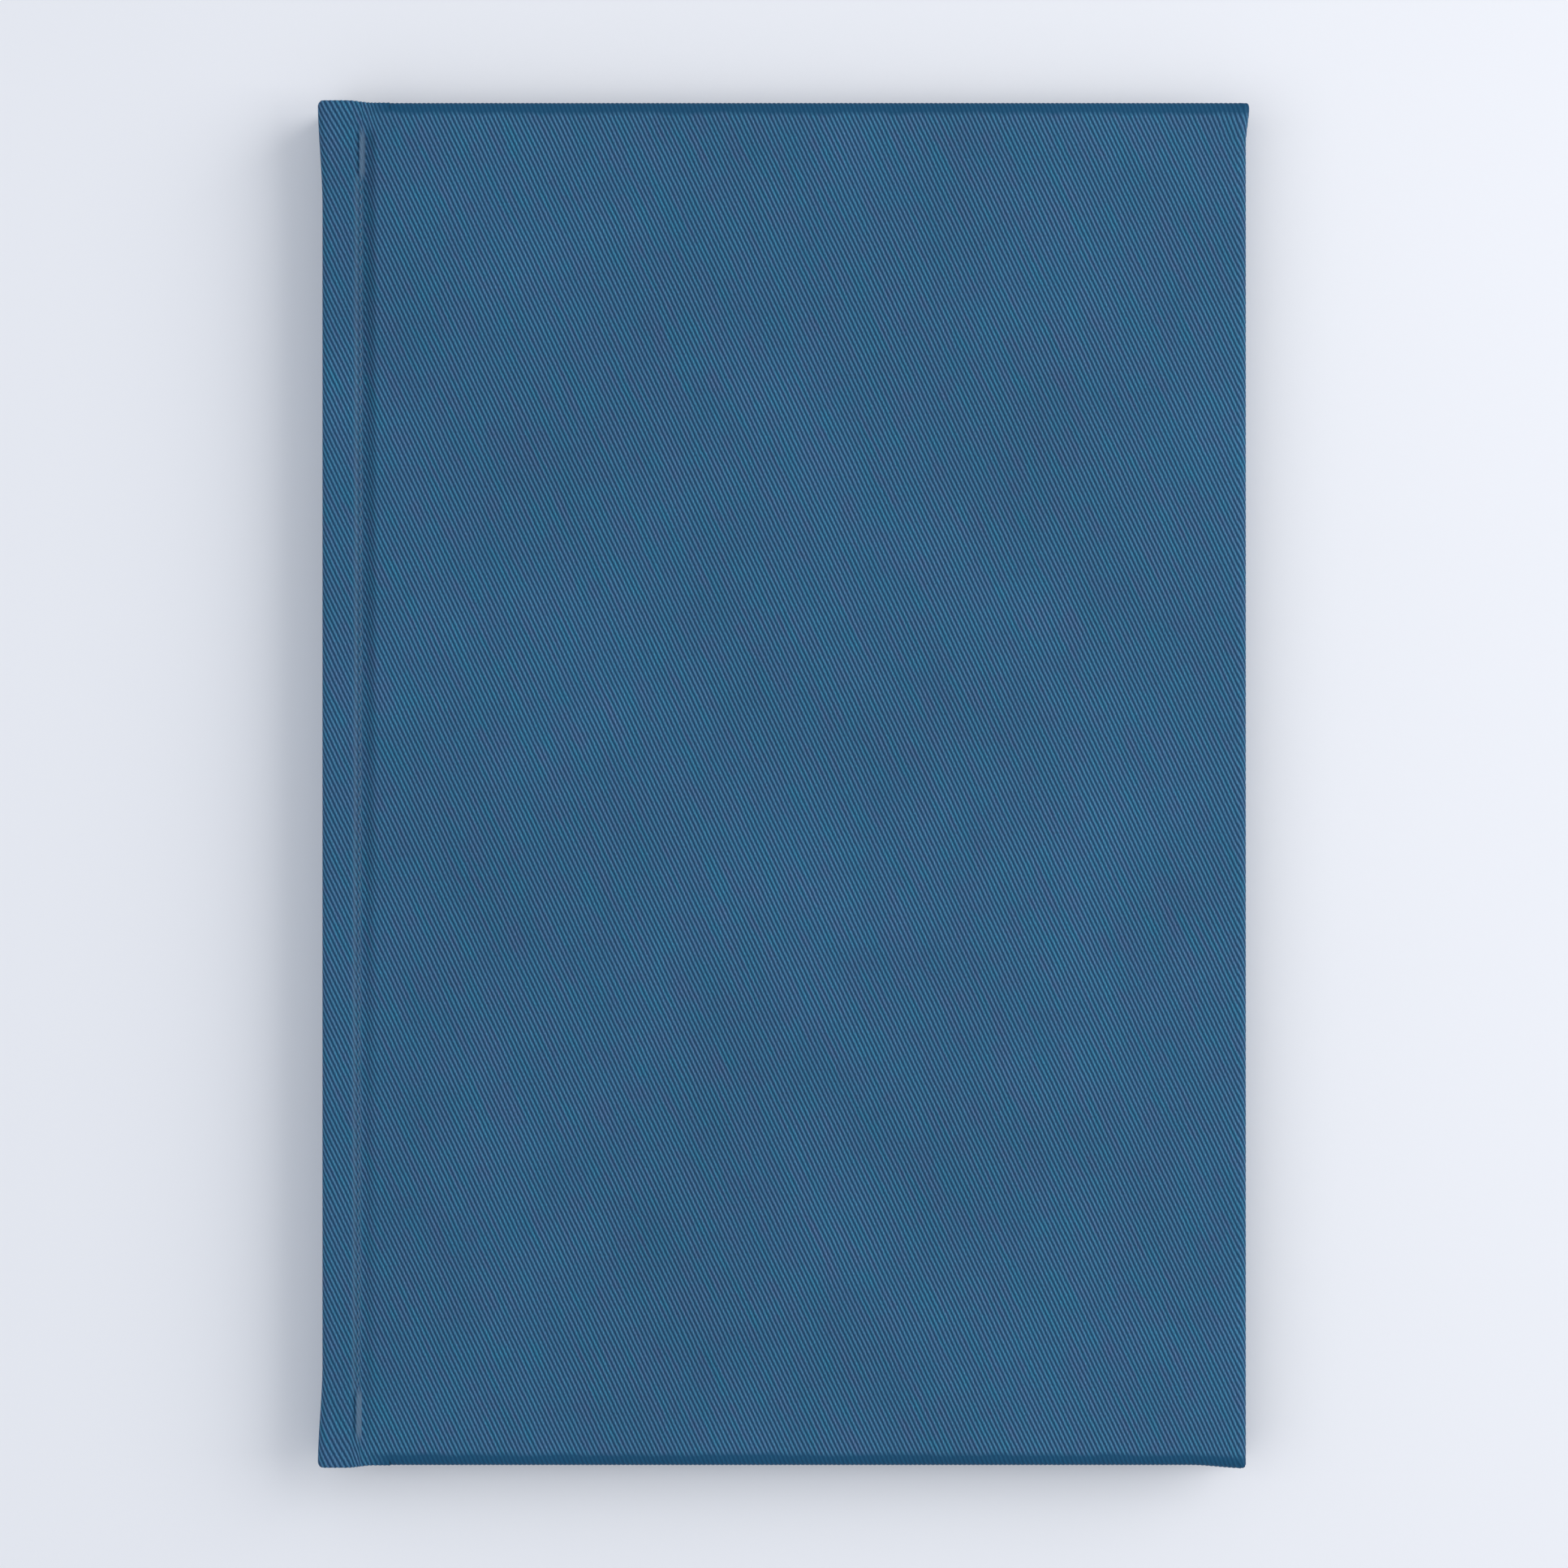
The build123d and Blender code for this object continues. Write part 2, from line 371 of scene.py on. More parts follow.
ENDPAPER = paper("endpaper", (0.80, 0.775, 0.70))
LOG_PAPER = paper("log paper", (0.83, 0.815, 0.75), ruled=True)
KRAFT = paper("kraft lining", (0.36, 0.24, 0.13))
BOARD = grey_board()
GAUZE = woven("mull gauze", (0.78, 0.76, 0.70), (0.45, 0.43, 0.38), 0.9 * MM)
TAPE = woven("cotton tape", (0.80, 0.77, 0.69), (0.60, 0.57, 0.50), 0.5 * MM)
THREAD = woven("linen thread", (0.82, 0.79, 0.70), (0.55, 0.52, 0.45), 0.25 * MM)
BAND = woven("headband silk", (0.80, 0.80, 0.78), (0.60, 0.60, 0.58), 0.35 * MM, stripes=1.5 * MM)


# ---------------------------------------------------------------- covers

ROLL = 1.5 * MM             # how far in the cloth starts to roll over a board's edge
ROLL_DROP = 0.85 * MM
UNDER = 0.5 * MM            # rounding on the inside of the edge
SCALLOP = 0.045 * MM        # the cords' height where they pass over an edge
CUT_X = -64 * MM            # where a cover's piece meets the piece of its joint
CELL = 2.2 * MM
ROLL_STEPS = 7
CORNER_STEPS = 10


def flare(x, y):
    """The small splay of the case's corners, in plan."""
    fore = 1 - smooth(0, 12 * MM, FORE_X - x)
    head = 1 - smooth(0, 7 * MM, HEAD_Y - y)
    tail = 1 - smooth(0, 12 * MM, HEAD_Y + y)
    spine = 1 - smooth(0, 6 * MM, x - SPINE_X)
    ends = 1 - smooth(0, 17 * MM, SPINE_HEAD_Y - np.abs(y))
    dx = 0.6 * MM * fore * head - 0.75 * MM * spine * ends
    dy = -0.55 * MM * tail * (1 - smooth(0, 9 * MM, FORE_X - x))
    return x + dx, y + dy


def swell(x, y):
    """A board is never quite flat: a broad rise of a few hundredths, gone at its edges."""
    inside = smooth(3 * MM, 20 * MM, FORE_X - x) * smooth(3 * MM, 20 * MM, HEAD_Y - np.abs(y))
    inside = inside * smooth(2 * MM, 15 * MM, x - CUT_X)
    return 0.07 * MM * inside * np.sin(x / (23 * MM) + 0.6) * np.cos(y / (31 * MM) - 0.4)


def cover_outline(columns, rows, fine_x, fine_y):
    """Stations round tail, fore edge and head: (grid point, x, y, outward angle)."""
    xs = np.linspace(CUT_X, FORE_X - ROLL, columns + 1)
    ys = np.linspace(-HEAD_Y + ROLL, HEAD_Y - ROLL, rows + 1)
    stations = []
    for i in range(columns):
        for k in range(fine_x):
            stations.append((xs[i] + (xs[i + 1] - xs[i]) * k / fine_x, ys[0], -math.pi / 2))
    for k in range(CORNER_STEPS):
        stations.append((xs[-1], ys[0], -math.pi / 2 * (1 - k / CORNER_STEPS)))
    for j in range(rows):
        for k in range(fine_y):
            stations.append((xs[-1], ys[j] + (ys[j + 1] - ys[j]) * k / fine_y, 0.0))
    for k in range(CORNER_STEPS):
        stations.append((xs[-1], ys[-1], math.pi / 2 * k / CORNER_STEPS))
    for i in range(columns, 0, -1):
        for k in range(fine_x):
            stations.append((xs[i] - (xs[i] - xs[i - 1]) * k / fine_x, ys[-1], math.pi / 2))
    stations.append((xs[0], ys[-1], math.pi / 2))
    return xs, ys, stations


def outward(angle):
    """Plan direction of a station, squarer than a circle at the corners."""
    c, s = math.cos(angle), math.sin(angle)
    return np.array([abs(c) ** 0.5 * (1 if c > 0 else -1) if abs(c) > 1e-9 else 0.0,
                     abs(s) ** 0.5 * (1 if s > 0 else -1) if abs(s) > 1e-9 else 0.0])


def cover_cloth(side, cloth_u, body, stands_for):
    """The outer cloth of a cover with its rolled edges, and its turn-ins as a second piece."""
    columns = round((FORE_X - ROLL - CUT_X) / CELL)
    rows = round((2 * HEAD_Y - 2 * ROLL) / CELL)
    fine_x, fine_y = 14, 8
    xs, ys, stations = cover_outline(columns, rows, fine_x, fine_y)
    points, flat, faces = [], [], []
    index = {}

    def add(x, y, z, u, v):
        x, y = flare(x, y)
        points.append((x, y, z))
        flat.append((u, v, 0.0))
        return len(points) - 1

    def on_face(x, y):
        key = (round(x * 1e7), round(y * 1e7))
        if key not in index:
            index[key] = add(x, y, TOP + swell(x, y), x, y)
        return index[key]

    for i in range(columns):
        for j in range(rows):
            low_x, high_x, low_y, high_y = xs[i], xs[i + 1], ys[j], ys[j + 1]
            edge = []
            steps = fine_x if j == 0 else 1
            edge += [(low_x + (high_x - low_x) * k / steps, low_y) for k in range(steps)]
            steps = fine_y if i == columns - 1 else 1
            edge += [(high_x, low_y + (high_y - low_y) * k / steps) for k in range(steps)]
            steps = fine_x if j == rows - 1 else 1
            edge += [(high_x - (high_x - low_x) * k / steps, high_y) for k in range(steps)]
            edge.append((low_x, high_y))
            faces.append([on_face(x, y) for x, y in edge])
    ring = [on_face(x, y) for x, y, _ in stations]
    floor_z = TOP - WRAP + UNDER
    levels = []
    for k in range(1, ROLL_STEPS + 1):
        levels.append((math.pi / 2 * k / ROLL_STEPS, 0.0))
    for k in (0.35, 0.7, 1.0):
        levels.append((math.pi / 2, k))
    for angle, down in levels:
        new = []
        for x, y, turn in stations:
            way = outward(turn)
            corner = abs(math.sin(2 * turn))
            drop = ROLL_DROP * (1 - 0.5 * corner)
            z = TOP - drop * (1 - math.cos(angle))
            z = z + (floor_z - z) * down
            run = ROLL * angle * 0.8 + (TOP - drop - floor_z) * down
            u = x + math.cos(turn) * run
            v = y + math.sin(turn) * run
            bulge = SCALLOP * (2 * cord(u, v) - 1) * math.sin(angle) * (1 - down)
            out = ROLL * math.sin(angle) + bulge
            new.append(add(x + way[0] * out, y + way[1] * out, z, u, v))
        for a in range(len(stations) - 1):
            face = [ring[a], new[a], new[a + 1], ring[a + 1]]
            if ring[a] == ring[a + 1]:
                face = face[:3]
            faces.append(face)
        ring = new
    outer = finish_cover(f"{side}_cover_cloth", points, faces, flat, side, cloth_u, body, stands_for)
    turn_in = turn_ins(f"{side}_turn_ins", side, cloth_u, body)
    return outer


def finish_cover(name, points, faces, flat, side, cloth_u, body, stands_for=()):
    """Makes a cover's piece; the back cover's is the same shape turned over in Z."""
    points = np.array(points)
    flat = np.array(flat)
    if side == "back":
        points[:, 2] = TOP - points[:, 2]
        flat[:, 0] = cloth_u - (flat[:, 0] - CUT_X)
        faces = [face[::-1] for face in faces]
    return piece(name, points, faces, CLOTH_BLUE, flat, body, stands_for)


def turn_ins(name, side, cloth_u, body):
    """The cloth folded over on the inside of a cover, mitred at its corners."""
    columns = round((FORE_X - ROLL - CUT_X) / CELL)
    rows = round((2 * HEAD_Y - 2 * ROLL) / CELL)
    xs, ys, stations = cover_outline(columns, rows, 1, 1)
    points, flat, faces = [], [], []
    levels = [(UNDER * (1 - math.cos(a)), UNDER * math.sin(a)) for a in np.linspace(0, math.pi / 2, 5)]
    levels += [(inset, UNDER) for inset in (1.4 * MM, 2.5 * MM, 5 * MM, 10 * MM, TURN_IN)]
    for inset, fall in levels:
        for x, y, turn in stations:
            way = outward(turn)
            px = min(x + way[0] * ROLL, FORE_X - inset)
            py = max(min(y + way[1] * ROLL, HEAD_Y - inset), -HEAD_Y + inset)
            run = WRAP + inset
            weight = 1 - float(smooth(0, TURN_IN, inset))
            wx, wy = flare(px, py)
            points.append((px + (wx - px) * weight, py + (wy - py) * weight, TOP - WRAP + UNDER - fall))
            flat.append((px + math.cos(turn) * run, py + math.sin(turn) * run, 0.0))
    count = len(stations)
    for k in range(len(levels) - 1):
        for a in range(count - 1):
            faces.append((k * count + a, (k + 1) * count + a, (k + 1) * count + a + 1, k * count + a + 1))
    obj = finish_cover(name, points, faces, flat, side, cloth_u, body)
    mesh = bmesh.new()
    mesh.from_mesh(obj.data)
    bmesh.ops.remove_doubles(mesh, verts=mesh.verts, dist=1e-6)
    bmesh.ops.dissolve_degenerate(mesh, edges=mesh.edges, dist=1e-6)
    mesh.to_mesh(obj.data)
    mesh.free()
    return obj


# ---------------------------------------------------------------- spine and joints

JOINT_END = 106.8 * MM      # past this the joint is filled by the turned-in cloth
SLIT_START = 99.5 * MM      # from here to its end the crease is a smooth slit
SEAM_Z = 1.5 * MM           # where the spine's piece meets the back joint's, on the spine face
CORNER = 1.4 * MM           # rounding of the case's corners, along X
CORNER_DROP = 1.0 * MM      # and along Z
END_CORNER = 0.7 * MM       # rounding of the spine's corners, seen from the front
END_ROLL = 0.36 * MM        # radius of the cloth folded over the case's head and tail
END_TURN_IN = 4.5 * MM      # cloth folded over there, between the boards
ROW = TWILL_Y / 8

# Stations of the pressed joint along X, from the ridge towards the cover.
SLOPE = (-70.15 * MM, -69.2 * MM)       # down from the ridge to a first step
VALLEY = (-68.75 * MM, -68.15 * MM)     # down again to the bottom
RISE = (-68.1 * MM, -66.0 * MM)         # up to the cover
BEAD_X = -68.8 * MM                     # a fine raised line like a twisted cord, painted pale as a highlight
BEAD_WIDTH = 0.3 * MM
BEAD_PITCH = 0.9 * MM
BEAD_HEIGHT = 0.15 * MM
HIGHLIGHT_LINE_X = -69.5 * MM                   # a painted highlight line beside it, on the slope that faces the light
HIGHLIGHT_LINE_WIDTH = 0.26 * MM
GROOVE_X = -69.42 * MM                  # the slit's groove near head and tail
GROOVE_WIDTH = 0.13 * MM
GROOVE_DEPTH = 0.32 * MM
BARE_START = (-69.2 * MM, -68.95 * MM)  # the smooth strip beside the groove
BARE_END = (-68.35 * MM, -68.1 * MM)
BARE_RISE = 0.1 * MM


def joint_shift(y):
    """The crease wanders towards the spine from head to tail."""
    return (-0.1 + 0.25 * y / (100 * MM) + 0.05 * np.sin(y / (17 * MM))) * MM


def ridge_line(x, place, width):
    """A soft line along the joint: 1 at its place, and fading to 0 over its width."""
    return np.exp(-(((x - place) / width) ** 2))


def joint_drop(x, y, knots):
    """(depth of the pressed joint, crease mark) at a place on the cover side of the spine."""
    near = smooth(-71.5 * MM, -70.2 * MM, x) * (1 - smooth(-67.3 * MM, -66.0 * MM, x))
    t = x - joint_shift(y) * near
    full = (0.42 + 0.9 * smooth(-110 * MM, 70 * MM, y)) * MM
    step = 0.58 * full
    slope = smooth(*SLOPE, t)
    valley = smooth(*VALLEY, t)
    rise = smooth(*RISE, t)
    knot = 1 - smooth(SLIT_START - 1.5 * MM, SLIT_START + 0.5 * MM, np.abs(y))
    wave = np.cos(2 * math.pi * (y / TWILL_Y - (t - BEAD_X) / BEAD_PITCH))
    strip = ridge_line(t, BEAD_X, BEAD_WIDTH)
    highlight_line = ridge_line(t, HIGHLIGHT_LINE_X, HIGHLIGHT_LINE_WIDTH)
    bead = strip * BEAD_HEIGHT * (1 + knots * knot * 0.8 * wave)
    # Near head and tail the crease is a narrow groove with a smooth bare strip beside it.
    bare = smooth(*BARE_START, t) * (1 - smooth(*BARE_END, t))
    groove = ridge_line(t, GROOVE_X, GROOVE_WIDTH)
    bead = knot * bead + (1 - knot) * (BARE_RISE * bare - GROOVE_DEPTH * groove)
    # The mark: painted highlight on the bead and its knots and on the slope line; near head and tail, a paler
    # bare strip.
    mark = knot * (strip * (0.45 + 0.45 * knot * wave) + 0.55 * highlight_line) + (1 - knot) * 1.25 * bare
    on = 1 - smooth(JOINT_END - 2.2 * MM, JOINT_END + 0.8 * MM, np.abs(y))
    return on * ((step * slope + (full - step) * valley) * (1 - rise) - bead), on * mark


def spine_bow(z):
    """The spine face, a little proud at its middle."""
    across = np.clip((z - CORNER_DROP) / (TOP - 2 * CORNER_DROP), 0, 1)
    return SPINE_X - 0.06 * MM * np.sin(math.pi * across)


def case_line(y):
    """The case's outer face at one height: x, z and crease mark, from the front cover round to the back."""
    bottom = RISE[0] + joint_shift(y)
    front = np.concatenate(
        [
            np.linspace(CUT_X, -65.9 * MM, 10)[:-1],
            np.linspace(-65.9 * MM, bottom, 18),
            np.linspace(bottom, -70.4 * MM, 34)[1:],
            np.linspace(-70.4 * MM, SPINE_X + CORNER, 12)[1:],
        ]
    )
    drop, mark = joint_drop(front, y, 1.0)
    drop_back, mark_back = joint_drop(front, y, 0.7)
    turn = np.linspace(0, math.pi / 2, 8)[1:]
    corner_x = SPINE_X + CORNER - CORNER * np.sin(turn)
    corner_z = CORNER_DROP * (1 - np.cos(turn))
    wall = np.linspace(TOP - CORNER_DROP, SEAM_Z, 26)[1:]
    rest = np.linspace(SEAM_Z, CORNER_DROP, 3)[1:]
    face_x = [corner_x, spine_bow(wall), spine_bow(rest), corner_x[::-1][1:], [SPINE_X + CORNER]]
    face_z = [TOP - corner_z, wall, rest, corner_z[::-1][1:], [0.0]]
    x = np.concatenate([front, *face_x, front[::-1][1:]])
    z = np.concatenate([TOP - drop, *face_z, drop_back[::-1][1:]])
    flatness = np.zeros(len(x) - len(front) - len(front) + 1)
    marks = np.concatenate([mark, flatness, mark_back[::-1][1:]])
    return x, z, marks


SIDE_COUNT = 27             # stations from CUT_X to the bottom of the joint
FRONT_COUNT = SIDE_COUNT + 33 + 11
SPINE_COUNT = FRONT_COUNT + 7 + 25
LINE_COUNT = len(case_line(0.0)[0])


def line_length(y):
    x, z, _ = case_line(y)
    return np.concatenate([[0], np.cumsum(np.hypot(np.diff(x), np.diff(z)))])


LENGTH_MID = line_length(0.0)
CLOTH_U_BACK = CUT_X - LENGTH_MID[-1]
CLOTH_BLUE = book_cloth("blue twill book cloth")


def case_strip(name, first, last):
    """One stretch of the case's cloth from head to tail, turned in at both ends, and its cut size."""
    rows = np.arange(-SPINE_HEAD_Y + END_ROLL, SPINE_HEAD_Y - END_ROLL, ROW)
    rows = np.append(rows, SPINE_HEAD_Y - END_ROLL)
    lines = []
    for y in rows:
        x, z, mark = case_line(y)
        u = CUT_X - LENGTH_MID
        half = SPINE_HEAD_Y - (SPINE_HEAD_Y - HEAD_Y) * smooth(-71 * MM, -66.75 * MM, x)
        near = np.clip(END_CORNER - (x - SPINE_X), 0, END_CORNER)
        half = half - (END_CORNER - np.sqrt(END_CORNER**2 - near**2))
        place = np.full(len(x), y) * half / SPINE_HEAD_Y
        lines.append(np.stack([x, place, z, u, place, mark], 1))
    for sign in (1, -1):
        edge = lines[-1] if sign > 0 else lines[0]
        x, z = edge[:, 0], edge[:, 2]
        along = np.gradient(np.stack([x, z], 1), axis=0)
        along /= np.linalg.norm(along, axis=1, keepdims=True)
        inward = np.stack([-along[:, 1], along[:, 0]], 1)
        # Doubled cloth in the joint, and the board's thickness too where there is a board.
        thin = 2 * END_ROLL + 0.06 * MM
        deep = thin + (WRAP - thin) * smooth(-67.2 * MM, -66.75 * MM, x)
        wall = deep - 2 * END_ROLL
        extra = []
        for angle in np.linspace(0, math.pi / 2, 5)[1:]:
            extra.append((END_ROLL * math.sin(angle), END_ROLL * (1 - math.cos(angle)), END_ROLL * angle))
        for angle in np.linspace(math.pi / 2, math.pi, 5):
            drop = END_ROLL * (1 - math.cos(angle)) + wall
            extra.append((END_ROLL * math.sin(angle), drop, END_ROLL * angle + wall))
        extra.append((-END_TURN_IN, deep, END_ROLL * math.pi + wall + END_TURN_IN))
        made = []
        for out, depth, run in extra:
            row = edge.copy()
            v = edge[:, 1] + sign * run
            relief = SCALLOP * (2 * cord(edge[:, 3], v) - 1) * max(out, 0) / END_ROLL
            row[:, 0] += inward[:, 0] * depth
            row[:, 2] += inward[:, 1] * depth
            row[:, 1] += sign * (out + relief)
            row[:, 4] = v
            made.append(row)
        lines = lines + made if sign > 0 else made[::-1] + lines
    cut = np.array(lines)[:, first:last]
    x, y = flare(cut[:, :, 0], cut[:, :, 1])
    points = np.stack([x, y, cut[:, :, 2]], 2).transpose(1, 0, 2).reshape(-1, 3)
    flat = cut[:, :, 3:6].transpose(1, 0, 2).reshape(-1, 3)
    faces = grid_faces(last - first, len(lines), flip=True)
    obj = piece(name, points, faces, CLOTH_BLUE, flat)
    width = LENGTH_MID[last - 1] - LENGTH_MID[first]
    height = 2 * (SPINE_HEAD_Y + END_TURN_IN)
    return obj, {"flat": (max(width, 10 * MM), height), "held": "stretched", "area": width * height}


BACK_SEAM = SPINE_COUNT
BACK_BOTTOM = LINE_COUNT - SIDE_COUNT + 1

cover_cloth("front", 0.0, "front_cover", ["front_cloth"])
cover_cloth("back", CLOTH_U_BACK, "back_cover", ["back_cloth"])

front_joint, front_joint_cut = case_strip("front_joint", 0, SIDE_COUNT)
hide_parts("front_joint_cloth")
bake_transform(front_joint)

spine_wrap, spine_wrap_cut = case_strip("spine_wrap", SIDE_COUNT - 1, BACK_SEAM)
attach(spine_wrap, "spine")
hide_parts("spine_cloth")
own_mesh(spine_wrap)


def spine_end(sign):
    """The cloth turned in over one end of the spine's card strip, doubled and pulled tight."""
    inner = INLAY_HIGH.x + 0.28 * MM
    outer = SPINE_X + 0.45 * MM
    top_y = SPINE_HEAD_Y - END_CORNER - 0.05 * MM
    path = [(outer, top_y - 0.25 * MM)]
    for angle in np.linspace(0, math.pi, 13):
        across = (outer + inner) / 2 - (inner - outer) / 2 * math.cos(angle)
        path.append((across, top_y + 0.3 * MM * math.sin(angle)))
    path.append((inner, top_y - 3.2 * MM))
    heights = np.linspace(INLAY_LOW.z - 0.2 * MM, INLAY_HIGH.z + 0.2 * MM, 60)
    points, flat = [], []
    run = 0
    for k, (x, y) in enumerate(path):
        run += math.dist(path[k - 1], (x, y)) if k else 0
        for z in heights:
            u = CUT_X - LENGTH_MID[FRONT_COUNT] + z - TOP
            v = sign * (top_y + run)
            lift = SCALLOP * cord(u, v) * (0 < k < len(path) - 1)
            points.append((x, sign * (y + lift), z))
            flat.append((u, v, 0.0))
    faces = grid_faces(len(path), len(heights), flip=sign > 0)
    end = "head" if sign > 0 else "tail"
    return piece(f"spine_turn_in_{end}", points, faces, CLOTH_BLUE, flat, "spine")


spine_ends = [spine_end(1), spine_end(-1)]

back_ridge, back_ridge_cut = case_strip("back_ridge", BACK_SEAM - 1, BACK_BOTTOM)
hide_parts("back_joint_cloth")
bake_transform(back_ridge)

back_side, back_side_cut = case_strip("back_joint_side", BACK_BOTTOM - 1, LINE_COUNT)
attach(back_side, "back_cover")


# ---------------------------------------------------------------- endpapers

def leaf(name, low, high, cuts, stands_for):
    """A flat sheet of endpaper between two corners, with its columns at the given X places."""
    rows = np.linspace(low.y, high.y, 60)
    points, flat = [], []
    for x in cuts:
        for y in rows:
            points.append((x, y, high.z))
            flat.append((x - cuts[0], y, 0.0))
    obj = piece(name, points, grid_faces(len(cuts), len(rows)), ENDPAPER, flat, None, stands_for)
    thicken(obj, PAPER)
    return obj


FINE_TO = -65 * MM          # the paper's columns are close together as far as this


def pastedown(side):
    """The endpaper glued inside a cover, with the strip that crosses the joint to the flyleaf's fold."""
    low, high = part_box(f"{side}_pastedown")
    if side == "front":
        high = Vector((high.x, high.y, low.z + PAPER))
    cuts = np.concatenate([np.linspace(FLY_LOW.x, FINE_TO, 40), np.linspace(FINE_TO, high.x, 40)[1:]])
    obj = leaf(f"{side}_paste_sheet", low, high, cuts, [f"{side}_pastedown"])
    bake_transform(obj)


pastedown("front")
pastedown("back")


# ---------------------------------------------------------------- sections of leaves

LEAVES = 4                  # folded sheets in a section
BEND_STEPS = 44
NEIGHBOUR = {
    8: "back_flyleaf",
    7: "section_8",
    6: "section_7",
    5: "section_6",
    4: "section_3",
    3: "section_2",
    2: "section_1",
    1: "front_flyleaf",
}


def section(number):
    """Nested folded sheets, flat away from the fold."""
    low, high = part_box(f"section_{number}")
    middle = (low.z + high.z) / 2
    pitch = (high.z - low.z) / 2 / LEAVES
    thickness = pitch * 0.86
    points, flat, faces = [], [], []
    for sheet in range(LEAVES):
        reach = pitch * (sheet + 0.5)
        arm = np.linspace(high.x - random.uniform(0, 0.12) * MM, low.x + reach, BEND_STEPS)
        turn = np.linspace(0, math.pi, 9)[1:-1]
        x = np.concatenate([arm, low.x + reach - reach * np.sin(turn), arm[::-1]])
        level = np.full(len(arm), reach)
        z = np.concatenate([level, reach * np.cos(turn), -level])
        trim = random.uniform(0, 0.08) * MM
        normal = np.gradient(np.stack([x, z], 1), axis=0)
        normal /= np.linalg.norm(normal, axis=1, keepdims=True)
        side = np.stack([-normal[:, 1], normal[:, 0]], 1) * thickness / 2
        loop_x = np.concatenate([x + side[:, 0], (x - side[:, 0])[::-1]])
        loop_z = np.concatenate([z + side[:, 1], (z - side[:, 1])[::-1]])
        rows = np.linspace(low.y + trim, high.y - trim, 24)
        base, count = len(points), len(loop_x)
        for y in rows:
            for a, b in zip(loop_x, loop_z):
                points.append((a, y, middle + b))
                flat.append((a - low.x, y, 1.0))
        for r in range(len(rows) - 1):
            for k in range(count):
                n = (k + 1) % count
                q = base + r * count
                faces.append((q + k, q + n, q + count + n, q + count + k))
        for r, flip in ((0, True), (len(rows) - 1, False)):
            for k in range(count // 2 - 1):
                q = base + r * count
                face = (q + k, q + k + 1, q + count - 2 - k, q + count - 1 - k)
                faces.append(face[::-1] if flip else face)
    node = f"section_{number}"
    obj = piece(f"leaves_{number}", points, faces, LOG_PAPER, flat, None, [node])
    for polygon in obj.data.polygons:
        polygon.use_smooth = False
    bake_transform(obj)


for number in NEIGHBOUR:
    section(number)


# ---------------------------------------------------------------- what is glued behind the folds

def slab_mesh(points, flat, faces, low, high):
    """Adds a thin strip with rounded edges to the lists: its outline is in X and Z, run along Y."""
    edge = min(high[0] - low[0], high[2] - low[2]) * 0.3
    corners = [(high[0], high[2], 0), (low[0], high[2], 1), (low[0], low[2], 2), (high[0], low[2], 3)]
    outline = []
    for x, z, quarter in corners:
        centre_x = x + (edge if quarter in (1, 2) else -edge)
        centre_z = z + (edge if quarter in (2, 3) else -edge)
        for angle in np.linspace(quarter * math.pi / 2, (quarter + 1) * math.pi / 2, 4):
            outline.append((centre_x + edge * math.cos(angle), centre_z + edge * math.sin(angle)))
    rows = np.linspace(low[1], high[1], max(4, round((high[1] - low[1]) / (1.5 * MM))))
    base, count = len(points), len(outline)
    for y in rows:
        for x, z in outline:
            points.append((x, y, z))
            flat.append((z, y, 0.0))
    for r in range(len(rows) - 1):
        for k in range(count):
            q, n = base + r * count, (k + 1) % count
            faces.append((q + k, q + count + k, q + count + n, q + n))
    faces.append(tuple(base + k for k in range(count)))
    faces.append(tuple(base + (len(rows) - 1) * count + k for k in range(count))[::-1])


def backing(name, nodes, number, material):
    """The part of some strips that is glued to one section, so that they bend with the spine."""
    low_z, high_z = (corner.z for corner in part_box(f"section_{number}"))
    points, flat, faces = [], [], []
    for node in nodes:
        low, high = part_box(node)
        bottom = low.z if number == 8 else low_z
        top = high.z if number == 1 else high_z
        slab_mesh(points, flat, faces, (low.x, low.y, bottom), (high.x, high.y, top))
    stands_for = nodes if number == 5 else ()
    piece(f"{name}_{number}", points, faces, material, flat, f"section_{number}", stands_for)


BAND_RADIUS = 0.75 * MM
WOUND = 0.35 * MM           # spacing of the silk's turns


def bands(number):
    """One section's length of the two worked headbands: a cord wound over with silk."""
    low_z, high_z = (corner.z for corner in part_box(f"section_{number}"))
    points, flat, faces = [], [], []
    for node, sign in (("headband", 1), ("tailband", -1)):
        low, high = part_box(node)
        centre_y = high.y - BAND_RADIUS if sign > 0 else low.y + BAND_RADIUS
        centre_x = FLY_LOW.x + 0.1 * MM
        levels = np.linspace(max(low_z, low.z), min(high_z, high.z), 13)
        base, count = len(points), 24
        for z in levels:
            wound = BAND_RADIUS * (0.95 + 0.05 * math.sin(2 * math.pi * z / WOUND))
            for k in range(count):
                angle = 2 * math.pi * k / count
                x, y = centre_x + wound * math.cos(angle), centre_y + wound * math.sin(angle)
                points.append((x, y, z))
                flat.append((BAND_RADIUS * angle, z, 0.0))
        for r in range(len(levels) - 1):
            for k in range(count):
                q, n = base + r * count, (k + 1) % count
                faces.append((q + k, q + n, q + count + n, q + count + k))
        faces.append(tuple(base + k for k in range(count))[::-1])
        faces.append(tuple(base + (len(levels) - 1) * count + k for k in range(count)))
    stands_for = ("headband", "tailband") if number == 5 else ()
    piece(f"bands_{number}", points, faces, BAND, flat, f"section_{number}", stands_for)


for number in NEIGHBOUR:
    backing("lining", ["spine_lining"], number, KRAFT)
    backing("mull", ["mull"], number, GAUZE)
    backing("tapes", ["tape_head", "tape_middle", "tape_tail"], number, TAPE)
    bands(number)


# ---------------------------------------------------------------- CAD nodes that stay

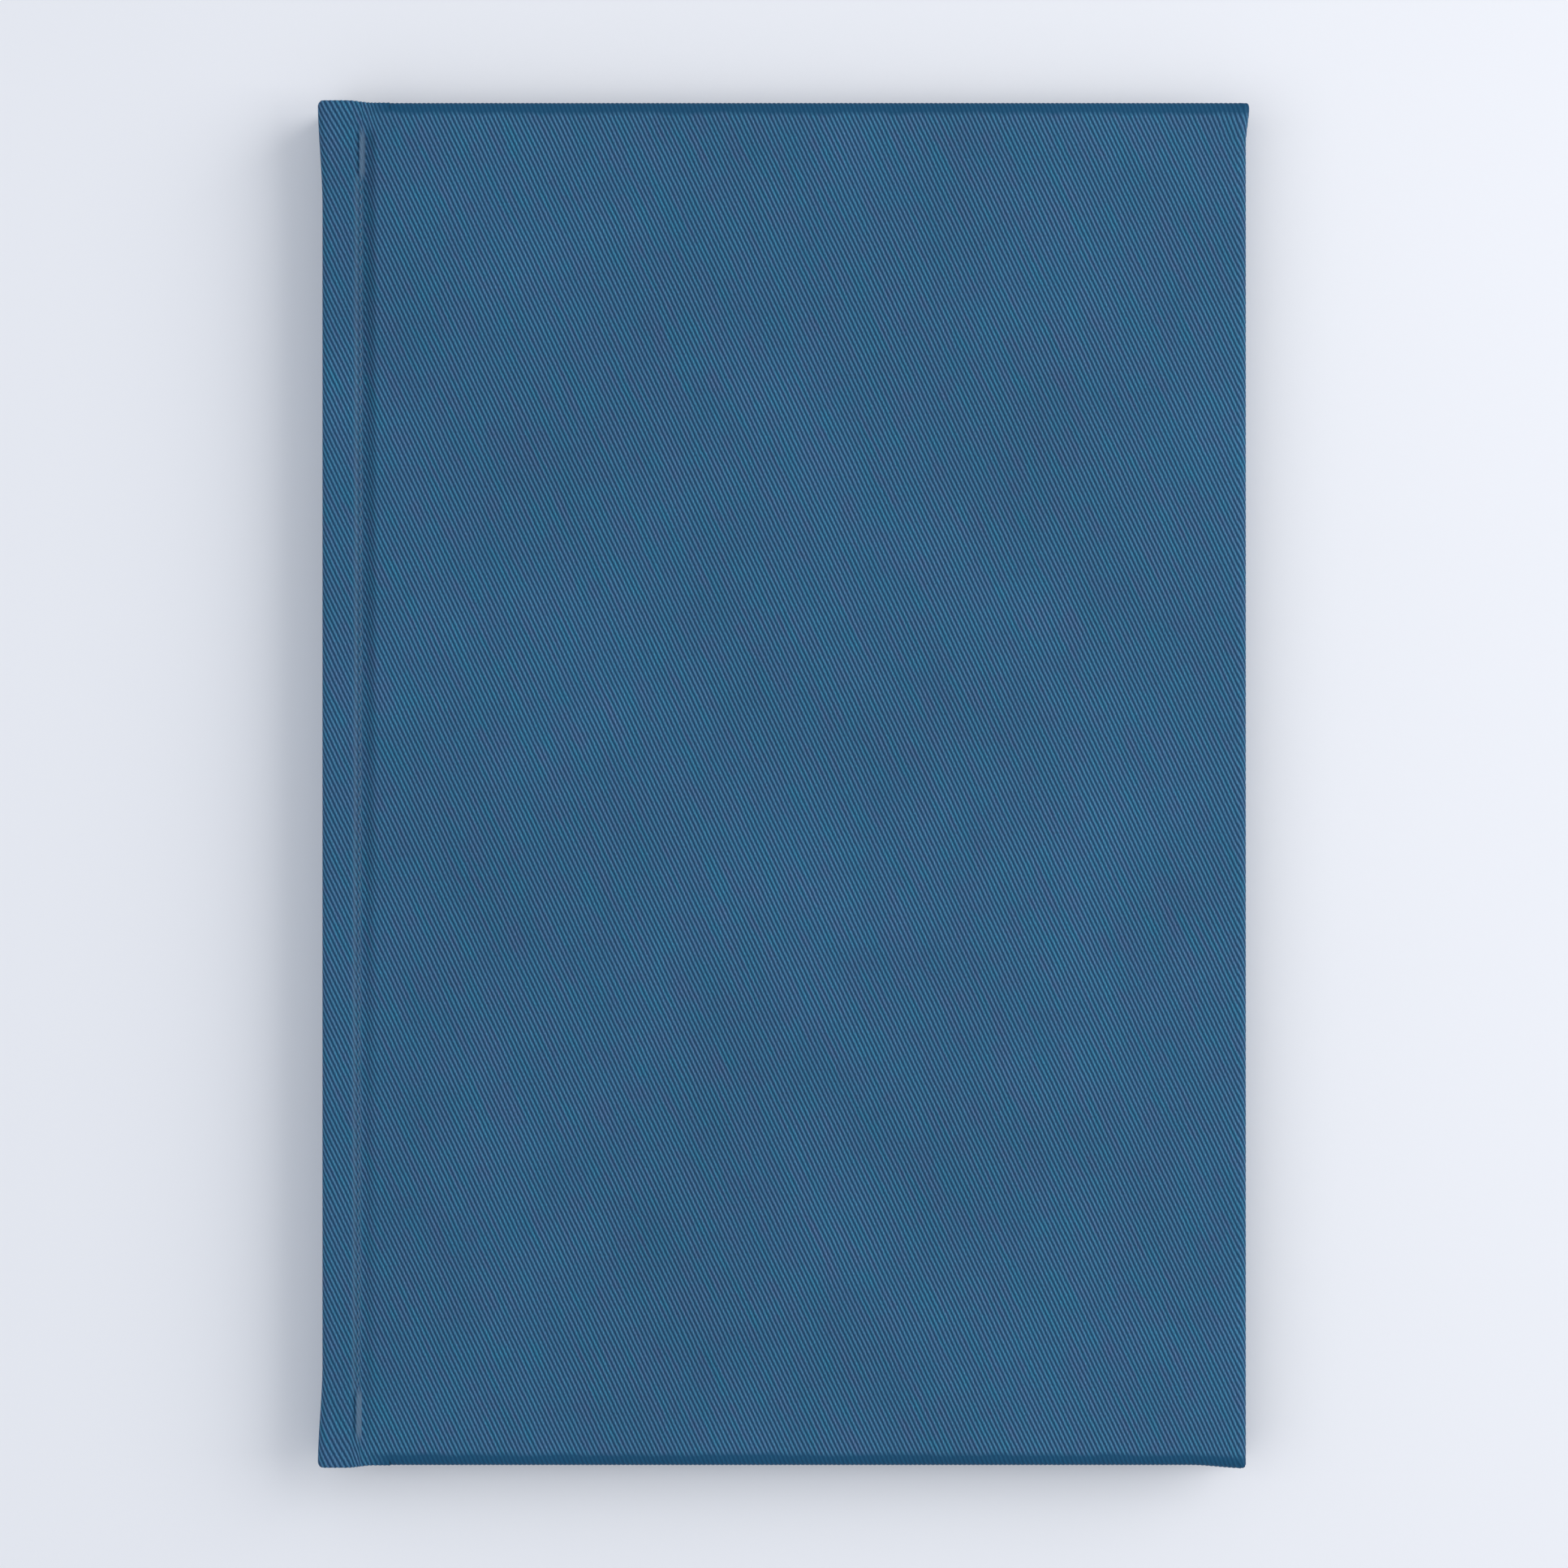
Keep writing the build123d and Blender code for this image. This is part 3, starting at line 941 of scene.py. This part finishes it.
KEPT = {
    "board": BOARD,
    "inlay": BOARD,
    "flyleaf": ENDPAPER,
    "thread": THREAD,
}
for name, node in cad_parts.items():
    if not node.hide_render:
        material = next(m for word, m in KEPT.items() if word in name)
        node.data.materials.clear()
        node.data.materials.append(material)


# ---------------------------------------------------------------- camera, floor and light

FRAME_WIDTH = 254.4 * MM    # what the picture's width covers at the level of the front cover
LENS = 100
SENSOR = 36

camera = bpy.data.cameras.new("camera")
camera.lens = LENS
camera.sensor_width = SENSOR
camera.clip_start = 0.01
camera_object = bpy.data.objects.new("camera", camera)
camera_object.location = (0, 0, TOP + FRAME_WIDTH * LENS / SENSOR)
bpy.context.collection.objects.link(camera_object)
bpy.context.scene.camera = camera_object
bpy.context.scene.view_settings.view_transform = "Standard"


def floor_material():
    n = Nodes("pale floor")
    vector = n.node("ShaderNodeTexCoord").outputs["Object"]
    cloud = n.noise(vector, 9.0, 2.0)
    return n.finish(n.mix(cloud, (0.85, 0.85, 0.88), (0.87, 0.87, 0.90)), 0.8)


floor_mesh = bpy.data.meshes.new("floor")
FLOOR = 1.5
floor_mesh.from_pydata(
    [(-FLOOR, -FLOOR, -0.0001), (FLOOR, -FLOOR, -0.0001), (FLOOR, FLOOR, -0.0001), (-FLOOR, FLOOR, -0.0001)],
    [],
    [(0, 1, 2, 3)],
)
floor_mesh.materials.append(floor_material())
floor = bpy.data.objects.new("floor", floor_mesh)
bpy.context.collection.objects.link(floor)


def soft_light(name, place, size, power, colour):
    light = bpy.data.lights.new(name, "AREA")
    light.size = size
    light.energy = power
    light.color = colour
    obj = bpy.data.objects.new(name, light)
    obj.location = place
    obj.rotation_euler = (-Vector(place)).to_track_quat("-Z", "Y").to_euler()
    bpy.context.collection.objects.link(obj)


soft_light("key", (0.75, 0.24, 0.62), 0.85, 6.0, (1.0, 0.99, 0.98))
soft_light("fill", (-0.6, -0.15, 1.0), 0.9, 2.8, (0.97, 0.98, 1.0))

world = bpy.data.worlds.new("studio")
world.use_nodes = True
world.node_tree.nodes["Background"].inputs[0].default_value = (0.86, 0.92, 1.0, 1)
world.node_tree.nodes["Background"].inputs[1].default_value = 0.58
bpy.context.scene.world = world
